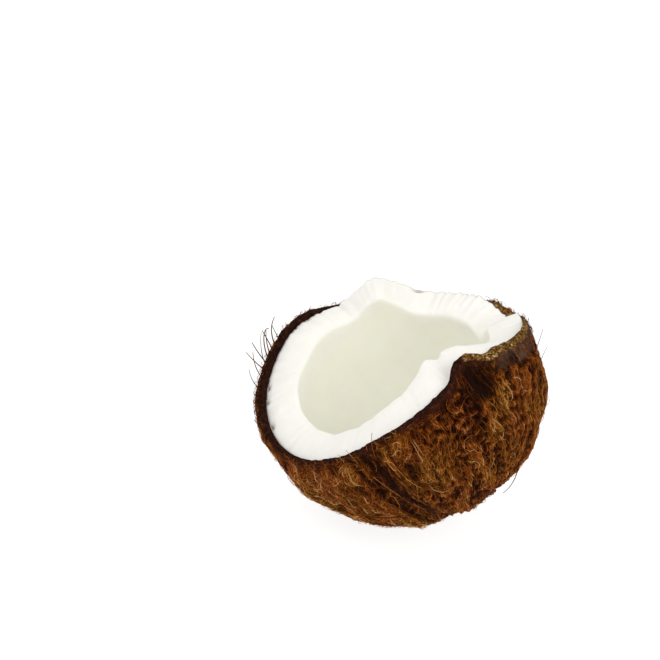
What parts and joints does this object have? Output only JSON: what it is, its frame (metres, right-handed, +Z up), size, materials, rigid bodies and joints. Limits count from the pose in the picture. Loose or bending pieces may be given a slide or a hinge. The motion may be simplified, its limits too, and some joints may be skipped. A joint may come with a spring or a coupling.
{
  "type": "coconut half",
  "caption": "Half of a dehusked coconut lying on its round side: a hairy brown shell with a jagged broken rim and thick white flesh round an open hollow.",
  "frame": {"origin": "centre of the small flat spot that the half rests on, right under the nut's middle, on the surface it stands on", "axes": "+Z up; the broken face looks up and leans about 19 degrees to -X; the eye end of the nut points to +X and -Y"},
  "size_m": [0.1131, 0.1129, 0.0898],
  "materials": {
    "shell": "matt fibre over hard dark shell",
    "flesh": "moist satin white"
  },
  "bodies": {
    "root": {"shell": "shell", "flesh": "flesh"}
  },
  "joints": []
}
